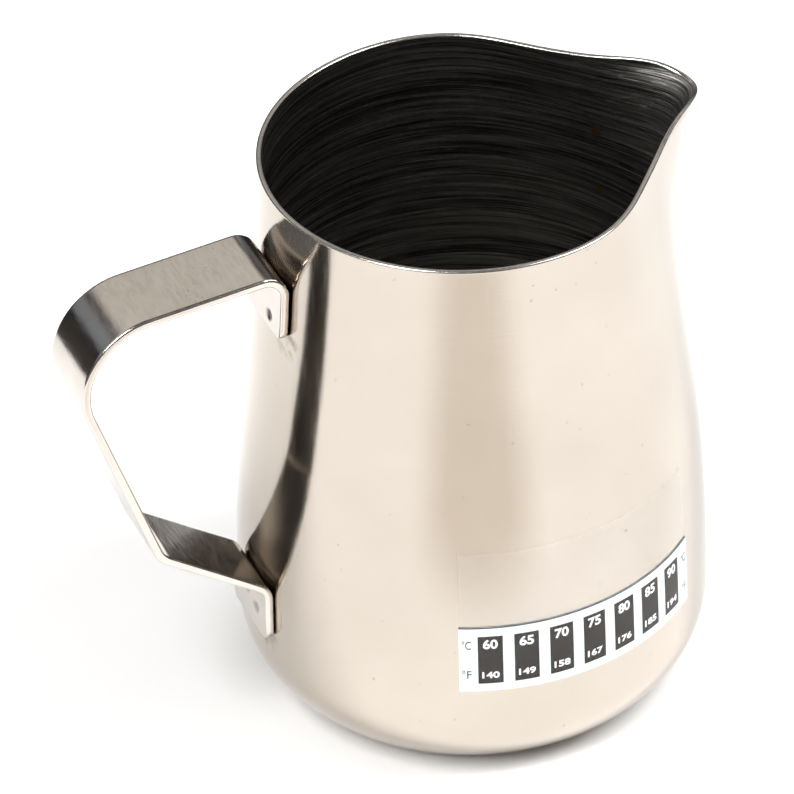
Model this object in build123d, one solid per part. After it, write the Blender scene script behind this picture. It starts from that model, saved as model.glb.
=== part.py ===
from build123d import *
import math
import os

# A milk frothing pitcher in millimetres. The origin is the centre of the base on the
# resting plane, +Z is up, the spout points along +X and the handle stands out along -X.

# Drawn shell
RIM_HEIGHT = 110.5
RIM_RADIUS = 35.9
RIM_TAPER = 0.045
RIM_REACH = 46.0
BELLY_RADIUS = 42.9
BELLY_HEIGHT = 14.2
BELLY_REACH = 43.0
FOOT_RADIUS = 32.3
FOOT_REACH = 2.9
FOOT_RISE = 8.2
WALL = 1.0

# Pressed spout: a beak that stands out of the rim, and the drawn-in waist each side of it
BEAK_OUT = 9.0
BEAK_WIDTH = 14.7
BEAK_POWER = 1.83
WAIST_IN = 2.4
WAIST_ANGLE = 42.9
WAIST_WIDTH = 21.8
LIP_SHARE = 0.14
LIP_DEPTH = 1.4
CHANNEL_DEPTH = 46.0
CHANNEL_POWER = 1.7
WAIST_DEPTH = 46.0
WAIST_POWER = 1.3
RIM_HUMP = [(21, RIM_HEIGHT), (31, 111.1), (39, 112.05), (43, 111.5), (46.5, 109.95)]
HUMP_START = (1, 0)
HUMP_END = (1, -0.56)
SPOUT_START = RIM_HEIGHT - WAIST_DEPTH
SHELL_TOP = 114.0
SECTION_COUNT = 14
SECTION_POINTS = 60
# The lofted part starts this much inside the turned part, so that they meet in one clean ring
SEAM_STEP = 0.02

# Bent strap handle: the middle line of the strip in the XZ plane, tab to tab
STRAP_WIDTH = 15.0
STRAP_THICKNESS = 1.6
STRAP_TOP = 99.55
STRAP_ELBOW = (-79.1, 96.95)
STRAP_HEEL = (-63.0, 45.9)
STRAP_FOOT = 31.0
UPPER_TAB_END = 85.9
LOWER_TAB_END = 19.6
STRAP_BENDS = [3.8, 13.3, 5.2, 4.0]
TAB_BEDDING = 0.35
TAB_CORNER = 2.0

# Spot welds through the tabs into the wall, each as (y, z)
WELD_RADIUS = 1.5
WELD_DEPTH = 0.45
DIMPLE_RADIUS = 1.3
DIMPLE_DEPTH = 0.35
UPPER_WELDS = [(-2.6, 88.8)]
LOWER_WELDS = [(-2.9, 24.6), (1.2, 26.2)]

# Thermometer strip, laid round the belly. Its layers are stacked outwards from the wall.
STRIP_START = -117.5
STRIP_END = -49.7
STRIP_BOTTOM = 22.9
STRIP_TOP = 37.2
FILM_TOP = 52.8
CELL_START = -113.0
CELL_ARC = 6.0
CELL_PITCH = 8.75
CELL_BOTTOM = 24.6
CELL_TOP = 35.2
LINE_WIDTH = 0.25
ADHESIVE_OUT = 0.06
BACKING_OUT = 0.10
PRINT_OUT = 0.14
INK_OUT = 0.17
FILM_OUT = 0.22
FILM_THICKNESS = FILM_OUT - INK_OUT

# Numerals and unit letters, made of plain bars: width, height and stroke of a character
CELSIUS = (60, 65, 70, 75, 80, 85, 90)
CELSIUS_SIZE = (1.15, 2.0, 0.36)
CELSIUS_BASE = 32.6
FAHRENHEIT_SIZE = (0.85, 1.4, 0.26)
FAHRENHEIT_BASE = 25.3
UNIT_SIZE = (1.0, 1.6, 0.28)
UNIT_BASES = {"C": 33.0, "F": 26.0}
UNIT_ANGLES = (-115.9, -51.9)
CHARACTER_GAP = 0.3
DEGREE_SIZE = 0.45
BARS = {
    "0": "abcdef", "1": "bc", "4": "fgbc", "5": "afgcd", "6": "afgedc", "7": "abc",
    "8": "abcdefg", "9": "gfabcd", "C": "afed", "F": "afge",
}

UPPER_CURVE = [
    (BELLY_RADIUS, BELLY_HEIGHT),
    (BELLY_RADIUS, BELLY_HEIGHT + BELLY_REACH),
    (RIM_RADIUS + RIM_TAPER * RIM_REACH, RIM_HEIGHT - RIM_REACH),
    (RIM_RADIUS, RIM_HEIGHT),
]


def mix(a, b, share):
    """The point part of the way from a to b."""
    return tuple(p + (q - p) * share for p, q in zip(a, b))


def split_curve(points, share):
    """De Casteljau's rule: the control points of a Bezier curve before and after a share of it."""
    rows = [list(points)]
    while len(rows[-1]) > 1:
        row = rows[-1]
        rows.append([mix(a, b, share) for a, b in zip(row, row[1:])])
    return [row[0] for row in rows], [row[-1] for row in reversed(rows)]


def share_at(points, height):
    """The share of a rising Bezier curve at which it reaches a height, by halving."""
    low, high = 0.0, 1.0
    for _ in range(50):
        middle = (low + high) / 2
        if split_curve(points, middle)[0][-1][1] < height:
            low = middle
        else:
            high = middle
    return (low + high) / 2


def part_of(points, low, high):
    """The control points of the stretch of a Bezier curve between two heights."""
    before, _ = split_curve(points, share_at(points, high))
    _, after = split_curve(before, share_at(before, low))
    return after


def wall_radius(height):
    """The shell's outer radius above the belly, away from the spout."""
    if height >= RIM_HEIGHT:
        return RIM_RADIUS - RIM_TAPER * (height - RIM_HEIGHT)
    return split_curve(UPPER_CURVE, share_at(UPPER_CURVE, height))[0][-1][0]


def moved_out(points, distance):
    """A curve's points moved outwards from the axis."""
    return [(radius + distance, height) for radius, height in points]


def spout_offset(angle, height):
    """How far the shell stands out of its round form, by the angle from the spout in degrees."""
    depth = RIM_HEIGHT - height
    lip = LIP_SHARE * math.exp(-depth / LIP_DEPTH) if depth > 0 else LIP_SHARE
    channel = max(0.0, 1 - depth / CHANNEL_DEPTH) ** CHANNEL_POWER
    waist = max(0.0, 1 - depth / WAIST_DEPTH) ** WAIST_POWER
    beak = BEAK_OUT * math.exp(-((abs(angle) / BEAK_WIDTH) ** BEAK_POWER))
    near = math.exp(-(((angle - WAIST_ANGLE) / WAIST_WIDTH) ** 2))
    far = math.exp(-(((angle + WAIST_ANGLE) / WAIST_WIDTH) ** 2))
    return beak * (lip + (1 - LIP_SHARE) * channel) - WAIST_IN * (near + far) * waist


def level_outline(height, inset):
    """One closed outline of the shell at a height, inset by a wall thickness."""
    radius = wall_radius(height) - inset
    points = []
    for step in range(SECTION_POINTS):
        angle = 180 - 360 * step / SECTION_POINTS
        reach = radius + spout_offset(angle, height)
        turn = math.radians(angle)
        points.append((reach * math.cos(turn), reach * math.sin(turn), height))
    return Wire([Spline(*points, periodic=True)])


def lower_body(inset):
    """The part of the shell below the spout, turned and filled solid."""
    foot = [
        (FOOT_RADIUS - inset / 3, inset),
        (FOOT_RADIUS - inset / 3 + FOOT_REACH, inset),
        (BELLY_RADIUS - inset, BELLY_HEIGHT - FOOT_RISE),
        (BELLY_RADIUS - inset, BELLY_HEIGHT),
    ]
    side = moved_out(part_of(UPPER_CURVE, BELLY_HEIGHT, SPOUT_START), -inset)
    with BuildPart() as body:
        with BuildSketch(Plane.XZ):
            with BuildLine():
                Polyline(side[-1], (0, SPOUT_START), (0, inset), foot[0])
                Bezier(*foot)
                Bezier(*side)
            make_face()
        revolve(axis=Axis.Z)
    return body.part


def upper_body(inset):
    """The part of the shell with the spout, lofted through level outlines, filled solid."""
    rise = (SHELL_TOP - SPOUT_START) / (SECTION_COUNT - 1)
    outlines = [level_outline(SPOUT_START, inset + SEAM_STEP)]
    outlines += [level_outline(SPOUT_START + rise * count, inset) for count in range(1, SECTION_COUNT)]
    return Solid.make_loft(outlines)


def rim_trim():
    """A block above the rim line: level round the rim, with a hump each side of the tip."""
    side, top = 60, 130
    hump_end = RIM_HUMP[-1]
    with BuildPart() as block:
        with BuildSketch(Plane.XZ):
            with BuildLine():
                Line((-side, RIM_HEIGHT), RIM_HUMP[0])
                Spline(*RIM_HUMP, tangents=[HUMP_START, HUMP_END])
                Polyline(hump_end, (side, hump_end[1]), (side, top), (-side, top), (-side, RIM_HEIGHT))
            make_face()
        extrude(amount=side, both=True)
    return block.part


def tab_line(height):
    """The strap's middle line where a tab beds on the wall."""
    return -(wall_radius(height) + STRAP_THICKNESS / 2 - TAB_BEDDING)


def corner_cutters(end):
    """What rounds the two corners of a tab's lower end."""
    radius, depth = TAB_CORNER, 3 * STRAP_THICKNESS
    cutters = []
    for side in (-1, 1):
        y, z = side * (STRAP_WIDTH / 2 - radius), end + radius
        block = Pos(tab_line(end), y + side * radius, z - radius) * Box(depth, 2 * radius, 2 * radius)
        round_part = Pos(tab_line(end), y, z) * Rotation(0, 90, 0) * Cylinder(radius, 2 * depth)
        cutters.append(block - round_part)
    return cutters


def strap():
    """The flat strip, swept along its bent middle line, with rounded tab corners."""
    points = [
        (tab_line(UPPER_TAB_END), UPPER_TAB_END),
        (tab_line(STRAP_TOP), STRAP_TOP),
        STRAP_ELBOW,
        STRAP_HEEL,
        (tab_line(STRAP_FOOT), STRAP_FOOT),
        (tab_line(LOWER_TAB_END), LOWER_TAB_END),
    ]
    line = FilletPolyline(*[(x, 0, z) for x, z in points], radius=STRAP_BENDS)
    start = Plane(origin=line @ 0, x_dir=(0, 1, 0), z_dir=line % 0)
    strip = sweep(start * Rectangle(STRAP_WIDTH, STRAP_THICKNESS), path=line)
    return strip - corner_cutters(UPPER_TAB_END) - corner_cutters(LOWER_TAB_END)


def nugget(y, z):
    """A weld nugget that spans the joint between a tab and the wall."""
    reach = math.sqrt(wall_radius(z) ** 2 - y**2)
    return Pos(-reach, y, z) * Rotation(0, 90, 0) * Cylinder(WELD_RADIUS, 2 * WELD_DEPTH)


def dimple(y, z):
    """The round mark that the electrode leaves in a tab's outer face."""
    face = tab_line(z) - STRAP_THICKNESS / 2
    return Pos(face, y, z) * Rotation(0, 90, 0) * Cylinder(DIMPLE_RADIUS, 2 * DIMPLE_DEPTH)


def patch(inner, outer, low, high, start, end):
    """A piece of a layer on the belly: between two distances off the wall, heights and angles."""
    curve = part_of(UPPER_CURVE, low, high)
    near = [(radius, 0, height) for radius, height in moved_out(curve, inner)]
    far = [(radius, 0, height) for radius, height in moved_out(curve, outer)]
    edges = [Bezier(*near), Line(near[-1], far[-1]), Bezier(*far), Line(near[0], far[0])]
    face = make_face(edges)
    return Rotation(0, 0, start) * revolve(face, axis=Axis.Z, revolution_arc=end - start)


def bar_spans(width, height, stroke):
    """The seven bars of a character as (left, right, bottom, top) spans."""
    middle = (height - stroke) / 2
    return {
        "a": (0, width, height - stroke, height),
        "g": (0, width, middle, middle + stroke),
        "d": (0, width, 0, stroke),
        "b": (width - stroke, width, middle, height),
        "c": (width - stroke, width, 0, middle + stroke),
        "f": (0, stroke, middle, height),
        "e": (0, stroke, 0, middle + stroke),
    }


def character(letter, angle, base, size):
    """One numeral or letter in the ink layer, its left edge at an angle."""
    spans = bar_spans(*size)
    degrees = math.degrees(1 / BELLY_RADIUS)
    bars = []
    for name in BARS[letter]:
        left, right, bottom, top = spans[name]
        bars.append(patch(PRINT_OUT, INK_OUT, base + bottom, base + top,
                          angle + left * degrees, angle + right * degrees))
    return bars[0].fuse(*bars[1:])


def word(text, middle, base, size):
    """Characters side by side, centred on an angle."""
    pitch = size[0] + CHARACTER_GAP
    degrees = math.degrees(1 / BELLY_RADIUS)
    first = middle - (pitch * len(text) - CHARACTER_GAP) * degrees / 2
    letters = []
    for place, letter in enumerate(text):
        letters.append(character(letter, first + pitch * place * degrees, base, size))
    return letters


def unit_mark(letter, middle):
    """A degree dot and its unit letter."""
    base = UNIT_BASES[letter]
    width, height, _ = UNIT_SIZE
    degrees = math.degrees(1 / BELLY_RADIUS)
    left = middle - width * degrees / 2
    dot_end = left - CHARACTER_GAP * degrees / 2
    dot = patch(PRINT_OUT, INK_OUT, base + height - DEGREE_SIZE, base + height,
                dot_end - DEGREE_SIZE * degrees, dot_end)
    return [dot, character(letter, left, base, UNIT_SIZE)]


def export(name, solids):
    """Write one piece, or a group of like pieces, to parts/ under its node name."""
    shape = Compound(children=solids) if isinstance(solids, list) else solids
    export_step(shape, os.path.join("parts", name + ".step"))


os.makedirs("parts", exist_ok=True)

# The shell and the strap take the weld nuggets in pockets at their joint
lower, upper = lower_body(0), upper_body(0)
inner = lower_body(WALL) + upper_body(WALL)
upper_nuggets = [nugget(*place) for place in UPPER_WELDS]
lower_nuggets = [nugget(*place) for place in LOWER_WELDS]
dimples = [dimple(*place) for place in UPPER_WELDS + LOWER_WELDS]
export("pitcher_body", lower + upper - inner - rim_trim() - upper_nuggets - lower_nuggets)
export("handle_strap", strap() - lower - upper - upper_nuggets - lower_nuggets - dimples)
export("upper_spot_weld", upper_nuggets)
export("lower_spot_welds", lower_nuggets)

# The strip's carrier layers
export("strip_adhesive", patch(0, ADHESIVE_OUT, STRIP_BOTTOM, FILM_TOP, STRIP_START, STRIP_END))
backing = patch(ADHESIVE_OUT, BACKING_OUT, STRIP_BOTTOM, STRIP_TOP, STRIP_START, STRIP_END)
export("strip_black_backing", backing)

# Seven liquid-crystal cells, each in a window of the white print
ground = patch(BACKING_OUT, PRINT_OUT, STRIP_BOTTOM, STRIP_TOP, STRIP_START, STRIP_END)
celsius_words = []
fahrenheit_words = []
for place, celsius in enumerate(CELSIUS):
    left = CELL_START + CELL_PITCH * place
    cell = patch(BACKING_OUT, PRINT_OUT, CELL_BOTTOM, CELL_TOP, left, left + CELL_ARC)
    export(f"crystal_cell_{celsius}", cell)
    ground = ground - cell
    middle = left + CELL_ARC / 2
    fahrenheit = round(celsius * 9 / 5 + 32)
    celsius_words += word(str(celsius), middle, CELSIUS_BASE, CELSIUS_SIZE)
    fahrenheit_words += word(str(fahrenheit), middle, FAHRENHEIT_BASE, FAHRENHEIT_SIZE)
export("strip_white_print", ground)
export("celsius_numerals", celsius_words)
export("fahrenheit_numerals", fahrenheit_words)
units = []
for angle in UNIT_ANGLES:
    for unit in UNIT_BASES:
        units += unit_mark(unit, angle)
export("unit_marks", units)
top_line = patch(PRINT_OUT, INK_OUT, STRIP_TOP - LINE_WIDTH, STRIP_TOP, STRIP_START, STRIP_END)
export("strip_top_line", top_line)

# The clear film lies over the print, steps down past its top edge and runs on up the wall
over_print = patch(INK_OUT, FILM_OUT, STRIP_BOTTOM, STRIP_TOP + FILM_THICKNESS, STRIP_START, STRIP_END)
step_down = patch(ADHESIVE_OUT, FILM_OUT, STRIP_TOP, STRIP_TOP + FILM_THICKNESS, STRIP_START, STRIP_END)
above_print = patch(ADHESIVE_OUT, ADHESIVE_OUT + FILM_THICKNESS, STRIP_TOP, FILM_TOP, STRIP_START, STRIP_END)
export("strip_clear_film", over_print + step_down + above_print)
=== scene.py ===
import math

import bpy
import numpy as np
from mathutils import Matrix, Vector


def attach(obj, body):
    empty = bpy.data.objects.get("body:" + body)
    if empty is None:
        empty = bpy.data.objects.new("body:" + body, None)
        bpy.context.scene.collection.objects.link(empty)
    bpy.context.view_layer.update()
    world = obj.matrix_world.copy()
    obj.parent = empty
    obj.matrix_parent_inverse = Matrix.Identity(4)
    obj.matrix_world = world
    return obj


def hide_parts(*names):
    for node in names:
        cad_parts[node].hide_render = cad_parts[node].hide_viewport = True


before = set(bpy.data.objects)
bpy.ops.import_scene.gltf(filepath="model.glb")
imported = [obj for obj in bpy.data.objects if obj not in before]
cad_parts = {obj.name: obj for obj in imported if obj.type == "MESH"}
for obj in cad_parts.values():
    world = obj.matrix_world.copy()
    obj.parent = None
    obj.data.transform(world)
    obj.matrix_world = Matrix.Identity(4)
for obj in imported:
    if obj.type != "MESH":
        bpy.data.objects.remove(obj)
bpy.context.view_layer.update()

# ---------------------------------------------------------------------------------------
# Camera. A long lens about a metre away looks down on the pitcher from the side that carries
# the strip. The pitcher has no cord, so nothing else has to be settled first.
camera_azimuth = math.radians(-23.9)
camera_elevation = math.radians(38.35)
camera_roll = math.radians(1.29)
camera_distance = 1.0
lens_length = 252.5
sensor_width = 36
look_height = 0.055
look_aside = 0.0128
look_above = 0.0003

back = Vector((math.sin(camera_azimuth) * math.cos(camera_elevation),
               -math.cos(camera_azimuth) * math.cos(camera_elevation),
               math.sin(camera_elevation)))
level = Vector((math.cos(camera_azimuth), math.sin(camera_azimuth), 0))
upright = back.cross(level)
across = math.cos(camera_roll) * level - math.sin(camera_roll) * upright
upward = math.sin(camera_roll) * level + math.cos(camera_roll) * upright
camera_place = Vector((0, 0, look_height)) + back * camera_distance
aim = Vector((0, 0, look_height)) - across * look_aside + upward * look_above
facing = (camera_place - aim).normalized()
across = (across - facing * across.dot(facing)).normalized()
upward = facing.cross(across)

camera_data = bpy.data.cameras.new("camera")
camera_data.lens = lens_length
camera_data.sensor_width = sensor_width
camera = bpy.data.objects.new("camera", camera_data)
bpy.context.collection.objects.link(camera)
turn = Matrix((across, upward, facing)).transposed().to_4x4()
camera.matrix_world = Matrix.Translation(camera_place) @ turn
bpy.context.scene.camera = camera

# ---------------------------------------------------------------------------------------
# Shell. One disc of stainless sheet, 1 mm thick, drawn into a bellied cup, with the pouring
# spout pressed out of its rim. It is polished outside and brushed round and round inside.
wall = 0.001
rim_height = 0.1105
rim_radius = 0.0359
rim_taper = 0.045
rim_reach = 0.046
belly_radius = 0.0429
belly_height = 0.0142
belly_reach = 0.043
foot_radius = 0.0323
foot_reach = 0.0029
foot_rise = 0.0082
beak_out = 0.0090
beak_width = 14.7
beak_power = 1.83
waist_in = 0.0024
waist_angle = 42.9
waist_width = 21.8
lip_share = 0.14
lip_depth = 0.0014
channel_depth = 0.046
channel_power = 1.7
waist_depth = 0.046
waist_power = 1.3
rim_round = 0.00032
hump_height = 0.00156
hump_place = 0.039
hump_width = 0.0082
tip_start = 0.0405
tip_drop = 34


def bezier(points, share):
    """The point of a cubic Bezier curve: its four points weighed by (1-t)^3, 3t(1-t)^2, 3t^2(1-t), t^3."""
    points = np.array(points, float)
    rest = 1 - share
    weights = np.stack([rest**3, 3 * share * rest**2, 3 * share**2 * rest, share**3], -1)
    return weights @ points


side_curve = bezier([(belly_radius, belly_height),
                     (belly_radius, belly_height + belly_reach),
                     (rim_radius + rim_taper * rim_reach, rim_height - rim_reach),
                     (rim_radius, rim_height)], np.linspace(0, 1, 4000))


def wall_radius(height):
    """The shell's outer radius away from the spout, read off the side's Bezier curve by height."""
    above = np.maximum(height - rim_height, 0)
    return np.interp(height, side_curve[:, 1], side_curve[:, 0]) - rim_taper * above


def spout_offset(angle, height):
    """How far the shell leaves its round form at an angle in degrees from the spout.

    A beak, A exp(-|a/w|^n), fades down its channel as (1 - d/D)^p with a small curl at the lip,
    less two waists, B exp(-((a -+ c)/v)^2), that fade in the same way.
    """
    depth = rim_height - height
    lip = lip_share * np.exp(-np.maximum(depth, 0) / lip_depth)
    channel = np.clip(1 - depth / channel_depth, 0, None) ** channel_power
    waist = np.clip(1 - depth / waist_depth, 0, None) ** waist_power
    beak = beak_out * np.exp(-(np.abs(angle) / beak_width) ** beak_power)
    near = np.exp(-((angle - waist_angle) / waist_width) ** 2)
    far = np.exp(-((angle + waist_angle) / waist_width) ** 2)
    return beak * (lip + (1 - lip_share) * channel) - waist_in * (near + far) * waist


def rim_line(x):
    """The rim's height along X: level, a round hump beside the beak, and a drop at its tip.

    H + 1.56 mm exp(-((x - 39)/8.2)^2), less 0.034 per mm times (x - 40.5 mm)^2 past the hump.
    """
    hump = hump_height * np.exp(-((x - hump_place) / hump_width) ** 2)
    drop = tip_drop * np.clip(x - tip_start, 0, None) ** 2
    return rim_height + hump - drop


def mesh_of(name, points, faces):
    """A linked, smooth-shaded mesh object from an array of points and a list or array of faces."""
    mesh = bpy.data.meshes.new(name)
    mesh.from_pydata(points.tolist(), [], faces)
    mesh.shade_smooth()
    mesh.set_sharp_from_angle(angle=math.radians(50))
    piece = bpy.data.objects.new(name, mesh)
    bpy.context.collection.objects.link(piece)
    return piece


def grid_faces(rows, columns, closed):
    """Quads between the points of a grid stored row by row; closed joins its last column to its first."""
    across_count = columns if closed else columns - 1
    row, column = np.meshgrid(np.arange(rows - 1), np.arange(across_count), indexing="ij")
    after = (column + 1) % columns
    quads = np.stack([row * columns + column, row * columns + after,
                      (row + 1) * columns + after, (row + 1) * columns + column], -1)
    return quads.reshape(-1, 4)


turns = 288
spout_crowding = 0.5
sweep = np.linspace(0, 2 * np.pi, turns, endpoint=False)
angles = sweep - spout_crowding * np.sin(sweep)
degrees = np.degrees((angles + np.pi) % (2 * np.pi) - np.pi)

# The rim's height at each angle is where the flared wall meets the rim line
settling_rounds = 30
rim_heights = np.full(turns, rim_height)
for _ in range(settling_rounds):
    rim_reaches = wall_radius(rim_heights) + spout_offset(degrees, rim_heights)
    rim_heights = 0.5 * rim_heights + 0.5 * rim_line(rim_reaches * np.cos(angles))

flat_rings, foot_rings = 12, 34
ring_crowding = 1.35


def shell_rows(inset, floor_height, wall_rings):
    """Rings of (radius, height) up one face of the shell, from the foot to just under the rim."""
    foot = bezier([(foot_radius - inset / 3, floor_height),
                   (foot_radius - inset / 3 + foot_reach, floor_height),
                   (belly_radius - inset, belly_height - foot_rise),
                   (belly_radius - inset, belly_height)], np.linspace(0, 1, foot_rings))
    radii = [np.full(turns, radius) for radius in np.linspace(0, foot[0, 0], flat_rings)[1:-1]]
    heights = [np.full(turns, floor_height) for _ in radii]
    for radius, height in foot[:-1]:
        radii.append(np.full(turns, radius))
        heights.append(np.full(turns, height))
    top = rim_heights - rim_round
    for share in 1 - (1 - np.linspace(0, 1, wall_rings)) ** ring_crowding:
        height = belly_height + (top - belly_height) * share
        radii.append(wall_radius(height) + spout_offset(degrees, height) - inset)
        heights.append(height)
    return radii, heights


outer_radii, outer_heights = shell_rows(0, 0.0, 90)
inner_radii, inner_heights = shell_rows(wall, wall, 80)
rim_radii, rim_levels = [], []
corner = np.radians(np.linspace(0, 90, 6))
corner_in = rim_round * (1 - np.cos(corner))
corner_down = rim_round * (1 - np.sin(corner))
rim_insets = np.concatenate([corner_in, wall - corner_in[::-1]])
rim_drops = np.concatenate([corner_down, corner_down[::-1]])
for inset, drop in list(zip(rim_insets, rim_drops))[1:-1]:
    height = rim_heights - drop
    rim_radii.append(wall_radius(height) + spout_offset(degrees, height) - inset)
    rim_levels.append(height)
radii = np.array(outer_radii + rim_radii + inner_radii[::-1])
heights = np.array(outer_heights + rim_levels + inner_heights[::-1])
rings = len(radii)
points = np.stack([radii * np.cos(angles), radii * np.sin(angles), heights], -1).reshape(-1, 3)
quads = grid_faces(rings, turns, True)
faces = quads.tolist()
under, floor_middle = len(points), len(points) + 1
points = np.vstack([points, [(0, 0, 0), (0, 0, wall)]])
last = (rings - 1) * turns
faces += [(under, (step + 1) % turns, step) for step in range(turns)]
faces += [(floor_middle, last + step, last + (step + 1) % turns) for step in range(turns)]
pitcher = mesh_of("pitcher_shell", points, faces)

# Which finish each face has: 0 outside, 1 the rim, 2 inside
outer_rings, rim_rings = len(outer_radii), len(rim_radii)
ring_of_face = np.concatenate([np.arange(len(quads)) // turns, np.zeros(turns), np.full(turns, rings)])
finish = np.where(ring_of_face < outer_rings - 1, 0, np.where(ring_of_face < outer_rings + rim_rings, 1, 2))
pitcher.data.polygons.foreach_set("material_index", finish.astype(np.int32))


class Value:
    """A shader socket. Arithmetic on it adds Math nodes to its material."""

    def __init__(self, tree, socket):
        self.tree = tree
        self.socket = socket

    def node(self, kind, inputs=(), output=0, **settings):
        """Any other node: its settings first, then the values or links of its sockets."""
        made = self.tree.nodes.new(kind)
        for key, value in settings.items():
            if key == "stops":
                ramp = made.color_ramp.elements
                while len(ramp) < len(value):
                    ramp.new(0.5)
                for element, (position, shade) in zip(ramp, value):
                    element.position = position
                    element.color = (*shade, 1) if len(shade) == 3 else shade
            else:
                setattr(made, key, value)
        for key, value in dict(inputs).items():
            if isinstance(value, Value):
                self.tree.links.new(value.socket, made.inputs[key])
            else:
                made.inputs[key].default_value = value
        return Value(self.tree, made.outputs[output])

    def math(self, operation, one, two):
        """A Math node with two inputs."""
        return self.node("ShaderNodeMath", {0: one, 1: two}, operation=operation)

    def __add__(self, other):
        return self.math("ADD", self, other)

    def __sub__(self, other):
        return self.math("SUBTRACT", self, other)

    def __mul__(self, other):
        return self.math("MULTIPLY", self, other)

    def __radd__(self, other):
        return self.math("ADD", other, self)

    def __rsub__(self, other):
        return self.math("SUBTRACT", other, self)

    def stretched(self, low, high):
        """0 below low, 1 above high."""
        return self.node("ShaderNodeMapRange", {"Value": self, "From Min": low, "From Max": high}, clamp=True)

    def colour(self, dark, light):
        """A colour between two, by this value."""
        return self.node("ShaderNodeMix", {0: self, 6: (*dark, 1), 7: (*light, 1)}, 2, data_type="RGBA")

    def over(self, colour, share):
        """This colour, covered by another one where share is 1."""
        return self.node("ShaderNodeMix", {0: share, 6: self, 7: (*colour, 1)}, 2, data_type="RGBA")

    def near(self, spot, radius):
        """1 within half a radius of a spot, 0 past the radius."""
        distance = self.node("ShaderNodeVectorMath", {0: self, 1: spot}, 1, operation="DISTANCE")
        return 1 - distance.stretched(radius / 2, radius)

    def placed(self, scale):
        """This place, stretched by a factor along each axis."""
        return self.node("ShaderNodeMapping", {"Vector": self, "Scale": scale})

    def noise(self, scale, detail=3.0, roughness=0.5):
        """Soft noise over this place, about 0.5."""
        return self.node("ShaderNodeTexNoise", {"Vector": self, "Scale": scale, "Detail": detail,
                                                "Roughness": roughness})

    def bump(self, height, strength, distance):
        """A normal that leans as a surface of this height would."""
        return self.node("ShaderNodeBump", {"Height": height, "Strength": strength, "Distance": distance})


def new_material(name, **fixed):
    """A material with a Principled shader, its even sockets set; returns it, its shader and its place."""
    material = bpy.data.materials.new(name)
    material.use_nodes = True
    shader = material.node_tree.nodes["Principled BSDF"]
    for key, value in fixed.items():
        socket = shader.inputs[key.replace("_", " ").title().replace("Ior", "IOR")]
        socket.default_value = (*value, 1) if isinstance(value, tuple) and len(value) == 3 else value
    place = Value(material.node_tree, None).node("ShaderNodeTexCoord", output=3)
    return material, shader, place


def wire(shader, name, value):
    """Links a value to one of a shader's sockets."""
    value.tree.links.new(value.socket, shader.inputs[name])


def polished_steel():
    """Outside of the shell: mirror-like, with draw lines, scratches, specks and tints at the welds."""
    material, shader, place = new_material("polished_steel", metallic=1.0)
    cloud = place.noise(38, 4)
    tint = cloud.stretched(0.3, 0.7).colour((0.485, 0.432, 0.375), (0.535, 0.482, 0.424))
    specks = place.noise(900, 1).stretched(0.76, 0.80)
    worn = tint.over((0.25, 0.22, 0.2), specks * 0.5)
    smudge = place.noise(420, 3).stretched(0.42, 0.66)
    for spot in ((-0.0370, -0.0065, 0.0852), (-0.0426, -0.0046, 0.0191)):
        worn = worn.over((0.24, 0.19, 0.15), place.near(spot, 0.0042) * smudge * 0.8)
    wire(shader, "Base Color", worn)
    scratches = place.placed((900, 900, 60)).noise(1, 2, 0.6)
    wire(shader, "Roughness", 0.085 + cloud * 0.05 + scratches.stretched(0.45, 0.8) * 0.06)
    rings = place.placed((30, 30, 1500)).noise(1, 2)
    wire(shader, "Normal", place.bump(rings * 0.6 + scratches * 0.4, 0.05, 0.0002))
    return material


def rim_steel():
    """The sheared and dressed rim: satin, with fine marks along it."""
    material, shader, place = new_material("rim_steel", metallic=1.0)
    marks = place.noise(1400, 3)
    wire(shader, "Base Color", marks.stretched(0.3, 0.7).colour((0.50, 0.475, 0.44), (0.62, 0.59, 0.55)))
    wire(shader, "Roughness", 0.20 + marks * 0.08)
    wire(shader, "Normal", place.bump(marks, 0.03, 0.0001))
    return material


def brushed_steel():
    """Inside of the shell: ring-brushed, in streaks that run round the wall, with two small milk stains. The
    streaks' dark colour, far darker than steel, is painted shade of the inside.
    """
    material, shader, place = new_material("brushed_steel", metallic=1.0, anisotropic=0.7,
                                           anisotropic_rotation=0.0)
    fine = place.placed((50, 50, 3600)).noise(1, 4, 0.65)
    broad = place.placed((22, 22, 900)).noise(1, 3, 0.6)
    streaks = fine * 0.6 + broad * 0.4
    # Painted shade: the dark end of the streak colours lies far below steel's own colour and stands for the
    # shade inside the pitcher; the pattern of streaks is the brushing.
    tint = streaks.stretched(0.42, 0.68).colour((0.06, 0.056, 0.052), (0.72, 0.70, 0.67))
    for spot, size in (((0.0327, 0.0147, 0.0943), 0.0013), ((0.0337, 0.0152, 0.0812), 0.0010)):
        tint = tint.over((0.36, 0.17, 0.03), place.near(spot, size))
    wire(shader, "Base Color", tint)
    wire(shader, "Roughness", 0.46 - streaks.stretched(0.4, 0.7) * 0.10)
    wire(shader, "Normal", place.bump(streaks, 0.6, 0.0004))
    return material


pitcher.data.materials.append(polished_steel())
pitcher.data.materials.append(rim_steel())
pitcher.data.materials.append(brushed_steel())
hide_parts("pitcher_body")
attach(pitcher, "root")

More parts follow.
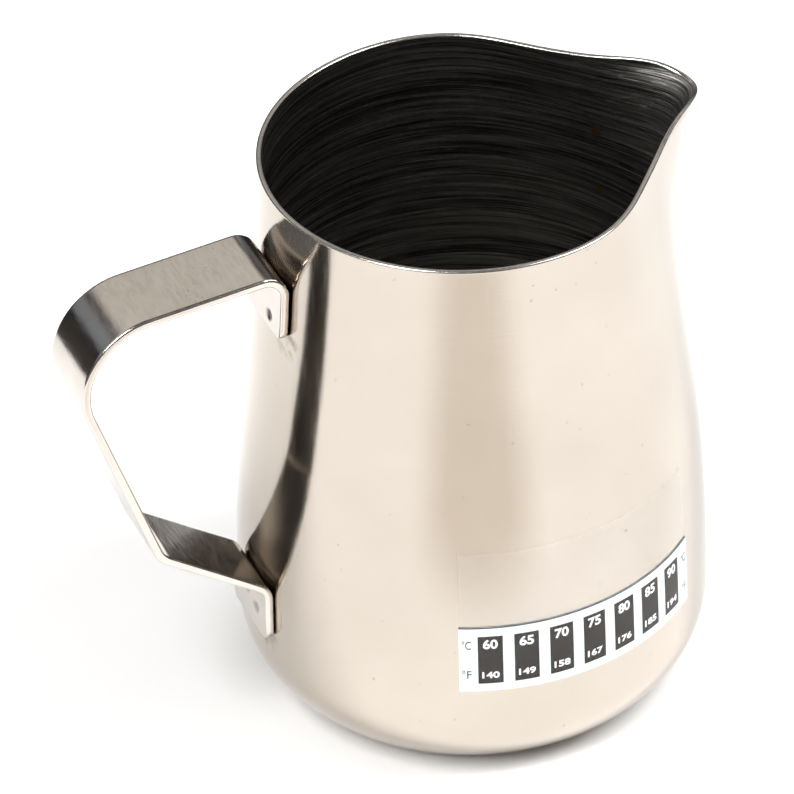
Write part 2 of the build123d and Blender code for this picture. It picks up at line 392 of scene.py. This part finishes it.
# ---------------------------------------------------------------------------------------
# Strap handle. One flat strip of the same steel, sheared, its edges rounded by tumbling, bent
# at four places and spot welded to the wall through a tab at each end.
strap_width = 0.0150
strap_thickness = 0.0016
edge_round = 0.00045
tab_bedding = 0.00035
strap_top = 0.09955
strap_elbow = (-0.0791, 0.09695)
strap_heel = (-0.0630, 0.0459)
strap_foot = 0.0310
upper_tab_end = 0.0859
lower_tab_end = 0.0196
strap_bends = (0.0038, 0.0133, 0.0052, 0.0040)
tab_corner = 0.002
upper_dimples = [(-0.0026, 0.0888)]
lower_dimples = [(-0.0029, 0.0246), (0.0012, 0.0262)]
dimple_radius = 0.0013
dimple_depth = 0.00035
run_step = 0.00025
turn_step = math.radians(2.5)
bedding_gap = 0.00001


def tab_line(height):
    """Where the strap's middle line lies, along X, when a tab beds on the wall at a height."""
    return -(float(wall_radius(height)) + strap_thickness / 2 - tab_bedding)


strap_corners = np.array([(tab_line(upper_tab_end), upper_tab_end),
                          (tab_line(strap_top), strap_top),
                          strap_elbow,
                          strap_heel,
                          (tab_line(strap_foot), strap_foot),
                          (tab_line(lower_tab_end), lower_tab_end)])


def turned(vector, swing):
    """A flat vector turned by several angles: (x cos s - y sin s, x sin s + y cos s)."""
    cosine, sine = np.cos(swing), np.sin(swing)
    return np.stack([vector[0] * cosine - vector[1] * sine, vector[0] * sine + vector[1] * cosine], -1)


def bent_line(corners, bends):
    """Points and headings along straight runs joined by tangent arcs of the given radii."""
    places, headings = [], []
    cursor = corners[0]
    for index, radius in enumerate(bends):
        corner, after = corners[index + 1], corners[index + 2]
        come = (corner - corners[index]) / np.linalg.norm(corner - corners[index])
        leave = (after - corner) / np.linalg.norm(after - corner)
        turn_angle = math.atan2(come[0] * leave[1] - come[1] * leave[0], come @ leave)
        cut = radius * math.tan(abs(turn_angle) / 2)
        start = corner - come * cut
        count = max(2, int(np.linalg.norm(start - cursor) / run_step))
        share = np.linspace(0, 1, count, endpoint=False)[:, None]
        places.append(cursor + (start - cursor) * share)
        headings.append(np.tile(come, (count, 1)))
        side = np.array([-come[1], come[0]]) * np.sign(turn_angle)
        centre = start + side * radius
        count = max(6, int(abs(turn_angle) / turn_step))
        swing = np.linspace(0, turn_angle, count, endpoint=False)
        places.append(centre + turned(start - centre, swing))
        headings.append(turned(come, swing))
        cursor = corner + leave * cut
    count = int(np.linalg.norm(corners[-1] - cursor) / run_step)
    share = np.linspace(0, 1, count)[:, None]
    places.append(cursor + (corners[-1] - cursor) * share)
    headings.append(np.tile(leave, (count, 1)))
    return np.vstack(places), np.vstack(headings)


line, heading = bent_line(strap_corners, strap_bends)
travel = np.concatenate([[0], np.cumsum(np.linalg.norm(np.diff(line, axis=0), axis=1))])
outward = np.stack([-heading[:, 1], heading[:, 0]], -1)

# The section is a flat oblong with rounded edges: a closed loop of (across, through) pairs
flats = np.linspace(-1, 1, 49)
quarter = np.radians(np.linspace(0, 90, 5))
half_width, half_thick = strap_width / 2, strap_thickness / 2
flat_half, rise = half_width - edge_round, half_thick - edge_round
top_edge = [(share * flat_half, half_thick) for share in flats]
right_top = [(flat_half + edge_round * math.sin(a), rise + edge_round * math.cos(a)) for a in quarter[1:]]
right_low = [(flat_half + edge_round * math.cos(a), -rise - edge_round * math.sin(a)) for a in quarter[:-1]]
low_edge = [(-share * flat_half, -half_thick) for share in flats]
left_low = [(-flat_half - edge_round * math.sin(a), -rise - edge_round * math.cos(a)) for a in quarter[1:]]
left_top = [(-flat_half - edge_round * math.cos(a), rise + edge_round * math.sin(a)) for a in quarter[:-1]]
section = np.array(top_edge + right_top + right_low + low_edge + left_low + left_top)


def end_width(distance, radius):
    """How much of its half width the strip keeps at a distance from its end: a quarter-round corner."""
    inside = np.clip(radius - distance, 0, None)
    return half_width - radius + np.sqrt(np.clip(radius**2 - inside**2, 0, None))


keep = np.minimum(end_width(travel, tab_corner), end_width(travel[-1] - travel, tab_corner)) / half_width
thin = np.clip(np.minimum(travel, travel[-1] - travel) / edge_round, 0, 1)
thin = 1 - edge_round / half_thick * (1 - np.sqrt(1 - (1 - thin) ** 2))
y = section[None, :, 0] * keep[:, None]
through = section[None, :, 1] * thin[:, None]
x = line[:, None, 0] + outward[:, None, 0] * through
z = line[:, None, 1] + outward[:, None, 1] * through

# A tab beds on the round wall over its middle, so the face that touches is hollowed to it
reach = np.hypot(x, y)
bedded = wall_radius(z) + bedding_gap
touching = (reach < bedded) & (x < 0)
x = np.where(touching, -np.sqrt(np.clip(bedded**2 - y**2, 0, None)), x)

# The electrodes leave shallow dishes in the tabs' outer faces
for middle_y, middle_z in upper_dimples + lower_dimples:
    outside = np.abs(x - tab_line(middle_z) + strap_thickness / 2) < strap_thickness * 0.3
    distance = np.hypot(y - middle_y, z - middle_z) / dimple_radius
    dish = np.clip(1 - distance**2, 0, None)
    x = x + np.where(outside, dimple_depth * dish, 0)
rows, columns = x.shape
points = np.stack([x, y, z], -1).reshape(-1, 3)
faces = grid_faces(rows, columns, True)[:, ::-1].tolist()
faces += [list(range(columns)), list(range((rows - 1) * columns, rows * columns))[::-1]]
strap = mesh_of("strap", points, faces)


def tumbled_steel():
    """The strip: duller than the shell, with fine rubbed scratches and small dark pits."""
    material, shader, place = new_material("tumbled_steel", metallic=1.0)
    cloud = place.noise(90, 4)
    tint = cloud.stretched(0.3, 0.7).colour((0.56, 0.52, 0.475), (0.64, 0.60, 0.56))
    pits = place.noise(1900, 2).stretched(0.66, 0.72)
    patches = place.noise(160, 2).stretched(0.5, 0.65)
    worn = tint.over((0.2, 0.17, 0.15), pits * patches * 0.6)
    for spots, share in ((upper_dimples, 0.95), (lower_dimples, 0.45)):
        for middle_y, middle_z in spots:
            dish = (tab_line(middle_z) - strap_thickness / 2, middle_y, middle_z)
            worn = worn.over((0.035, 0.03, 0.028), place.near(dish, dimple_radius * 1.15) * share)
    wire(shader, "Base Color", worn)
    rubbed = place.placed((1500, 300, 1500)).noise(1, 3, 0.6)
    wire(shader, "Roughness", 0.11 + cloud * 0.06 + rubbed.stretched(0.4, 0.8) * 0.08)
    wire(shader, "Normal", place.bump(rubbed * 0.6 + cloud * 0.4, 0.12, 0.0002))
    return material


strap.data.materials.append(tumbled_steel())
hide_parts("handle_strap")
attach(strap, "root")


# ---------------------------------------------------------------------------------------
# Spot welds. The nuggets are fused metal hidden between each tab and the wall: one above and
# two below. They keep their shapes from the design and get a dull, heat-darkened steel.
def weld_steel():
    """Fused metal: dull and a little darkened by the heat."""
    material, shader, place = new_material("weld_steel", metallic=1.0)
    heat = place.noise(800, 3)
    wire(shader, "Base Color", heat.stretched(0.3, 0.7).colour((0.25, 0.22, 0.2), (0.48, 0.45, 0.42)))
    wire(shader, "Roughness", 0.4 + heat * 0.2)
    return material


weld = weld_steel()
for node in ("upper_spot_weld", "lower_spot_welds"):
    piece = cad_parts[node]
    for material_slot in piece.material_slots:
        material_slot.material = weld

# ---------------------------------------------------------------------------------------
# Thermometer strip. A self-adhesive label of printed polyester: clear adhesive, black ink,
# seven liquid-crystal patches in the windows of a white print, and a clear film over them
# that carries on up the wall. It is pressed down by hand and follows the belly.
strip_start, strip_end = -117.5, -49.7
strip_bottom, strip_top, film_top = 0.0229, 0.0372, 0.0528
cell_start, cell_arc, cell_pitch = -113.0, 6.0, 8.75
cell_bottom, cell_top = 0.0246, 0.0352
adhesive_out, backing_out, print_out = 0.00006, 0.00010, 0.00014
ink_out, film_out = 0.00017, 0.00022
film_thickness = film_out - ink_out
line_width = 0.00025
cells = [(celsius, cell_start + cell_pitch * place) for place, celsius in enumerate(range(60, 91, 5))]


def on_belly(angle, height, distance):
    """Points a distance off the wall: (r + d) cos a, (r + d) sin a, z, with r the wall's radius at z."""
    reach = wall_radius(height) + distance
    swing = np.radians(angle)
    return np.stack([reach * np.cos(swing), reach * np.sin(swing), height + 0 * reach], -1)


def skin(name, start, end, low, high, inner, outer, windows=()):
    """A closed thin layer on the belly.

    An outer and an inner grid over angle and height are joined at their edges and round each window.
    inner and outer are distances off the wall, or functions of height.
    """
    angle_lines = [np.linspace(start, end, 2 + int(abs(end - start)))]
    height_lines = [np.linspace(low, high, 2 + int((high - low) / 0.0005))]
    for left, right, bottom, top in windows:
        angle_lines.append([left, right])
        height_lines.append([bottom, top])
    angle_lines = np.unique(np.round(np.concatenate(angle_lines), 4))
    height_lines = np.unique(np.round(np.concatenate(height_lines), 7))
    angle, height = np.meshgrid(angle_lines, height_lines)
    far = outer(height) if callable(outer) else outer
    near = inner(height) if callable(inner) else inner
    points = np.vstack([on_belly(angle, height, distance).reshape(-1, 3) for distance in (far, near)])
    middle_angle = (angle_lines[1:] + angle_lines[:-1])[None, :] / 2
    middle_height = (height_lines[1:] + height_lines[:-1])[:, None] / 2
    filled = np.ones((len(height_lines) - 1, len(angle_lines) - 1), bool)
    for left, right, bottom, top in windows:
        beside = (middle_angle > left) & (middle_angle < right)
        level_with = (middle_height > bottom) & (middle_height < top)
        filled &= ~(beside & level_with)
    row, column = np.nonzero(filled)
    count, below = len(angle_lines), len(angle_lines) * len(height_lines)
    a, b = row * count + column, row * count + column + 1
    c, d = b + count, a + count
    fringed = np.pad(filled, 1)
    faces = [np.stack([a, b, c, d], -1), np.stack([a, d, c, b], -1) + below]
    for shift, (one, two) in {(-1, 0): (b, a), (1, 0): (d, c), (0, -1): (a, d), (0, 1): (c, b)}.items():
        open_side = ~fringed[row + 1 + shift[0], column + 1 + shift[1]]
        faces.append(np.stack([one, two, two + below, one + below], -1)[open_side])
    faces = np.vstack(faces)
    used, faces = np.unique(faces, return_inverse=True)
    return mesh_of(name, points[used], faces.reshape(-1, 4).tolist())


def finish_piece(piece, node, material):
    """Gives a new piece its material, hides the node of the design that it stands for and hangs it under the
    root.
    """
    piece.data.materials.append(material)
    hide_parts(node)
    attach(piece, "root")


def clear_plastic(name, colour, alpha, roughness):
    """A clear layer: nearly unseen but for its gloss and a little haze."""
    material, shader, place = new_material(name, base_color=colour, roughness=roughness)
    haze = place.noise(300, 3)
    wire(shader, "Alpha", alpha * 0.8 + haze * (alpha * 0.4))
    return material


def printed_ink(name, dark, light, roughness):
    """A printed layer: an even colour with the slight mottle of screen ink."""
    material, shader, place = new_material(name, roughness=roughness, specular_ior_level=0.1)
    mottle = place.noise(900, 3)
    wire(shader, "Base Color", mottle.stretched(0.3, 0.7).colour(dark, light))
    wire(shader, "Roughness", roughness - 0.05 + mottle * 0.1)
    return material


black_ink = printed_ink("black_ink", (0.010, 0.008, 0.007), (0.016, 0.013, 0.012), 0.5)
crystal_ink = printed_ink("liquid_crystal", (0.016, 0.011, 0.008), (0.028, 0.021, 0.017), 0.35)
white_ground = printed_ink("white_print", (0.74, 0.84, 0.87), (0.80, 0.89, 0.92), 0.4)
white_ink = printed_ink("white_ink", (0.86, 0.89, 0.90), (0.93, 0.95, 0.96), 0.4)
line_ink = printed_ink("line_ink", (0.02, 0.02, 0.022), (0.035, 0.035, 0.04), 0.4)

adhesive = skin("adhesive", strip_start, strip_end, strip_bottom, film_top, 0.000005, adhesive_out)
clear_adhesive = clear_plastic("clear_adhesive", (0.9, 0.9, 0.88), 0.02, 0.4)
finish_piece(adhesive, "strip_adhesive", clear_adhesive)
backing = skin("black_backing", strip_start, strip_end, strip_bottom, strip_top, adhesive_out, backing_out)
finish_piece(backing, "strip_black_backing", black_ink)
for celsius, left in cells:
    cell = skin(f"crystal_{celsius}", left, left + cell_arc, cell_bottom, cell_top, backing_out, print_out)
    finish_piece(cell, f"crystal_cell_{celsius}", crystal_ink)
windows = [(left, left + cell_arc, cell_bottom, cell_top) for _, left in cells]
ground = skin("white_ground", strip_start, strip_end, strip_bottom, strip_top,
              backing_out, print_out, windows)
finish_piece(ground, "strip_white_print", white_ground)
top_line = skin("top_line", strip_start, strip_end, strip_top - line_width, strip_top, print_out, ink_out)
finish_piece(top_line, "strip_top_line", line_ink)

# Numerals and unit letters: white on the cells, black on the ground, centred on an angle
celsius_width, celsius_height, celsius_base = 0.00265, 0.0021, 0.0324
fahrenheit_width, fahrenheit_height, fahrenheit_base = 0.0031, 0.00145, 0.0258
unit_width, unit_height = 0.00165, 0.0019
unit_angles = (-115.7, -51.7)
boldness = 0.030


def lettering(name, words, heavy):
    """Words, each (text, angle, base, width, height), cut from flat type and laid on the belly.

    A letter's x becomes an angle, its y a height and its thickness the layer of ink.
    """
    all_points, all_faces, before = [], [], 0
    for text, angle, base, width, height in words:
        type_curve = bpy.data.curves.new("type", "FONT")
        type_curve.body = text
        type_curve.extrude = 0.5
        type_curve.offset = heavy
        type_curve.resolution_u = 4
        type_object = bpy.data.objects.new("type", type_curve)
        bpy.context.collection.objects.link(type_object)
        evaluated = type_object.evaluated_get(bpy.context.evaluated_depsgraph_get())
        made = bpy.data.meshes.new_from_object(evaluated)
        flat = np.empty(len(made.vertices) * 3)
        made.vertices.foreach_get("co", flat)
        flat = flat.reshape(-1, 3)
        low, span = flat.min(0), np.ptp(flat, axis=0)
        unit = (flat - low) / span
        swing = angle + np.degrees((unit[:, 0] - 0.5) * width / belly_radius)
        distance = print_out + unit[:, 2] * (ink_out - print_out)
        all_points.append(on_belly(swing, base + unit[:, 1] * height, distance))
        all_faces += [[before + vertex for vertex in face.vertices] for face in made.polygons]
        before += len(flat)
        bpy.data.objects.remove(type_object)
        bpy.data.curves.remove(type_curve)
        bpy.data.meshes.remove(made)
    return mesh_of(name, np.vstack(all_points), all_faces)


celsius_words, fahrenheit_words = [], []
for celsius, left in cells:
    middle = left + cell_arc / 2
    celsius_words.append((str(celsius), middle, celsius_base, celsius_width, celsius_height))
    fahrenheit = str(round(celsius * 9 / 5 + 32))
    fahrenheit_words.append((fahrenheit, middle, fahrenheit_base, fahrenheit_width, fahrenheit_height))
unit_words = [(mark, angle, base, unit_width, unit_height)
              for angle in unit_angles
              for mark, base in (("\u00b0C", celsius_base), ("\u00b0F", fahrenheit_base))]
celsius_type = lettering("celsius_type", celsius_words, boldness)
finish_piece(celsius_type, "celsius_numerals", white_ink)
fahrenheit_type = lettering("fahrenheit_type", fahrenheit_words, boldness)
finish_piece(fahrenheit_type, "fahrenheit_numerals", white_ink)
unit_type = lettering("unit_type", unit_words, 0.0)
finish_piece(unit_type, "unit_marks", line_ink)

film_drop_reach = 0.0004


def film_step(height):
    """The film's drop past the print: a smooth step from the ink's level down to the adhesive's."""
    share = np.clip((height - strip_top) / film_drop_reach, 0, 1)
    return ink_out - (ink_out - adhesive_out) * share**2 * (3 - 2 * share)


film = skin("clear_film", strip_start, strip_end, strip_bottom, film_top,
            film_step, lambda height: film_step(height) + film_thickness)
clear_film = clear_plastic("clear_film", (0.95, 0.95, 0.93), 0.018, 0.06)
finish_piece(film, "strip_clear_film", clear_film)

# ---------------------------------------------------------------------------------------
# Floor and light: a pale table in a studio with soft lamps, with a painted shadow on the table in front of
# the pitcher.
# The steel sees the near table, dim studio walls behind and the lamps; the far table and the pale backdrop
# are seen directly only.
disc_steps = 96


def disc(name, inner, outer, height):
    """A flat ring or disc round the object, facing up: points at r (cos a, sin a) on two circles."""
    around = np.linspace(0, 2 * np.pi, disc_steps, endpoint=False)
    circle = np.stack([np.cos(around), np.sin(around)], -1)
    level_with = np.full(disc_steps, height)
    rim_points = [np.column_stack([radius * circle, level_with]) for radius in (outer, inner)]
    piece = mesh_of(name, np.vstack(rim_points), grid_faces(2, disc_steps, True).tolist())
    return piece


table_height = -0.0002
near_radius = 0.40
far_radius = 4.0
floor_material, floor_shader, _ = new_material("floor", base_color=(0.93, 0.93, 0.93), roughness=0.9)
table = Value(floor_material.node_tree, None).node("ShaderNodeTexCoord", output=3)
# Painted shadow: a soft, darker and warmer patch on the table in front of the pitcher, which the polished
# shell reflects as a beige zone.
shade = table.near((-0.062, -0.165, 0), 0.085)
wire(floor_shader, "Base Color", shade.colour((0.93, 0.93, 0.93), (0.70, 0.66, 0.61)))
near_floor = disc("floor", 0.0001, near_radius, table_height)
far_floor = disc("far_floor", near_radius, far_radius, table_height)
for piece in (near_floor, far_floor):
    piece.data.materials.append(floor_material)
far_floor.visible_glossy = False

backdrop_radius = 3.9
backdrop_turns, backdrop_rows = 64, 24
backdrop_angles = np.linspace(0, 2 * np.pi, backdrop_turns, endpoint=False)
backdrop_rings = np.radians(np.linspace(-5, 89, backdrop_rows))[:, None]
backdrop_points = backdrop_radius * np.stack([np.cos(backdrop_rings) * np.cos(backdrop_angles),
                                              np.cos(backdrop_rings) * np.sin(backdrop_angles),
                                              np.sin(backdrop_rings) + 0 * backdrop_angles], -1)
backdrop_points = backdrop_points.reshape(-1, 3)
backdrop_faces = grid_faces(backdrop_rows, backdrop_turns, True)[:, ::-1].tolist()
backdrop = mesh_of("backdrop", backdrop_points, backdrop_faces)
backdrop_material, backdrop_shader, _ = new_material("backdrop", base_color=(0, 0, 0), roughness=1.0)
backdrop_shader.inputs["Emission Color"].default_value = (1, 1, 1, 1)
backdrop_shader.inputs["Emission Strength"].default_value = 1.0
backdrop.data.materials.append(backdrop_material)
backdrop.visible_glossy = backdrop.visible_diffuse = backdrop.visible_shadow = False
backdrop.visible_transmission = False

# The studio's walls by height: dark low down, a pale band, dark, a bright band, then a dark ceiling
world = bpy.data.worlds.new("studio")
bpy.context.scene.world = world
world.use_nodes = True
direction = Value(world.node_tree, None).node("ShaderNodeTexCoord")
depth = direction.node("ShaderNodeSeparateXYZ", {"Vector": direction}, 1)
height = direction.node("ShaderNodeSeparateXYZ", {"Vector": direction}, 2)
walls = height.node("ShaderNodeValToRGB", {"Fac": height}, stops=[
    (0.0, (0.05, 0.045, 0.04)), (0.24, (0.03, 0.028, 0.027)), (0.30, (0.26, 0.29, 0.32)),
    (0.47, (0.30, 0.32, 0.34)), (0.52, (0.05, 0.048, 0.046)), (0.56, (0.10, 0.095, 0.09)),
    (0.60, (0.86, 0.82, 0.76)), (0.70, (0.80, 0.76, 0.70)),
    (0.80, (0.06, 0.06, 0.06)), (1.0, (0.04, 0.04, 0.04))])
behind = depth.stretched(-0.15, 0.25)
studio = behind.node("ShaderNodeMix", {0: behind, 6: (0.16, 0.155, 0.15, 1), 7: walls}, 2, data_type="RGBA")
background = world.node_tree.nodes["Background"]
world.node_tree.links.new(studio.socket, background.inputs["Color"])


def soft_light(name, azimuth, elevation, distance, size, power):
    """An oblong lamp that looks at the pitcher from an azimuth and elevation in degrees."""
    turn, rise = math.radians(azimuth), math.radians(elevation)
    away = Vector((math.cos(turn) * math.cos(rise), math.sin(turn) * math.cos(rise), math.sin(rise)))
    lamp = bpy.data.lights.new(name, "AREA")
    lamp.shape = "RECTANGLE"
    lamp.size, lamp.size_y = size
    lamp.energy = power
    lamp_object = bpy.data.objects.new(name, lamp)
    lamp_object.location = away * distance
    lamp_object.rotation_euler = away.to_track_quat("Z", "Y").to_euler()
    bpy.context.collection.objects.link(lamp_object)
    return lamp_object


soft_light("right_lamp", -30, 52, 1.3, (0.42, 0.8), 17.5)
soft_light("left_lamp", -156, 52, 1.3, (0.30, 0.8), 15.5)
soft_light("overhead", -90, 80, 1.5, (1.2, 1.2), 4.0).visible_glossy = False
bpy.context.scene.view_settings.view_transform = "Standard"
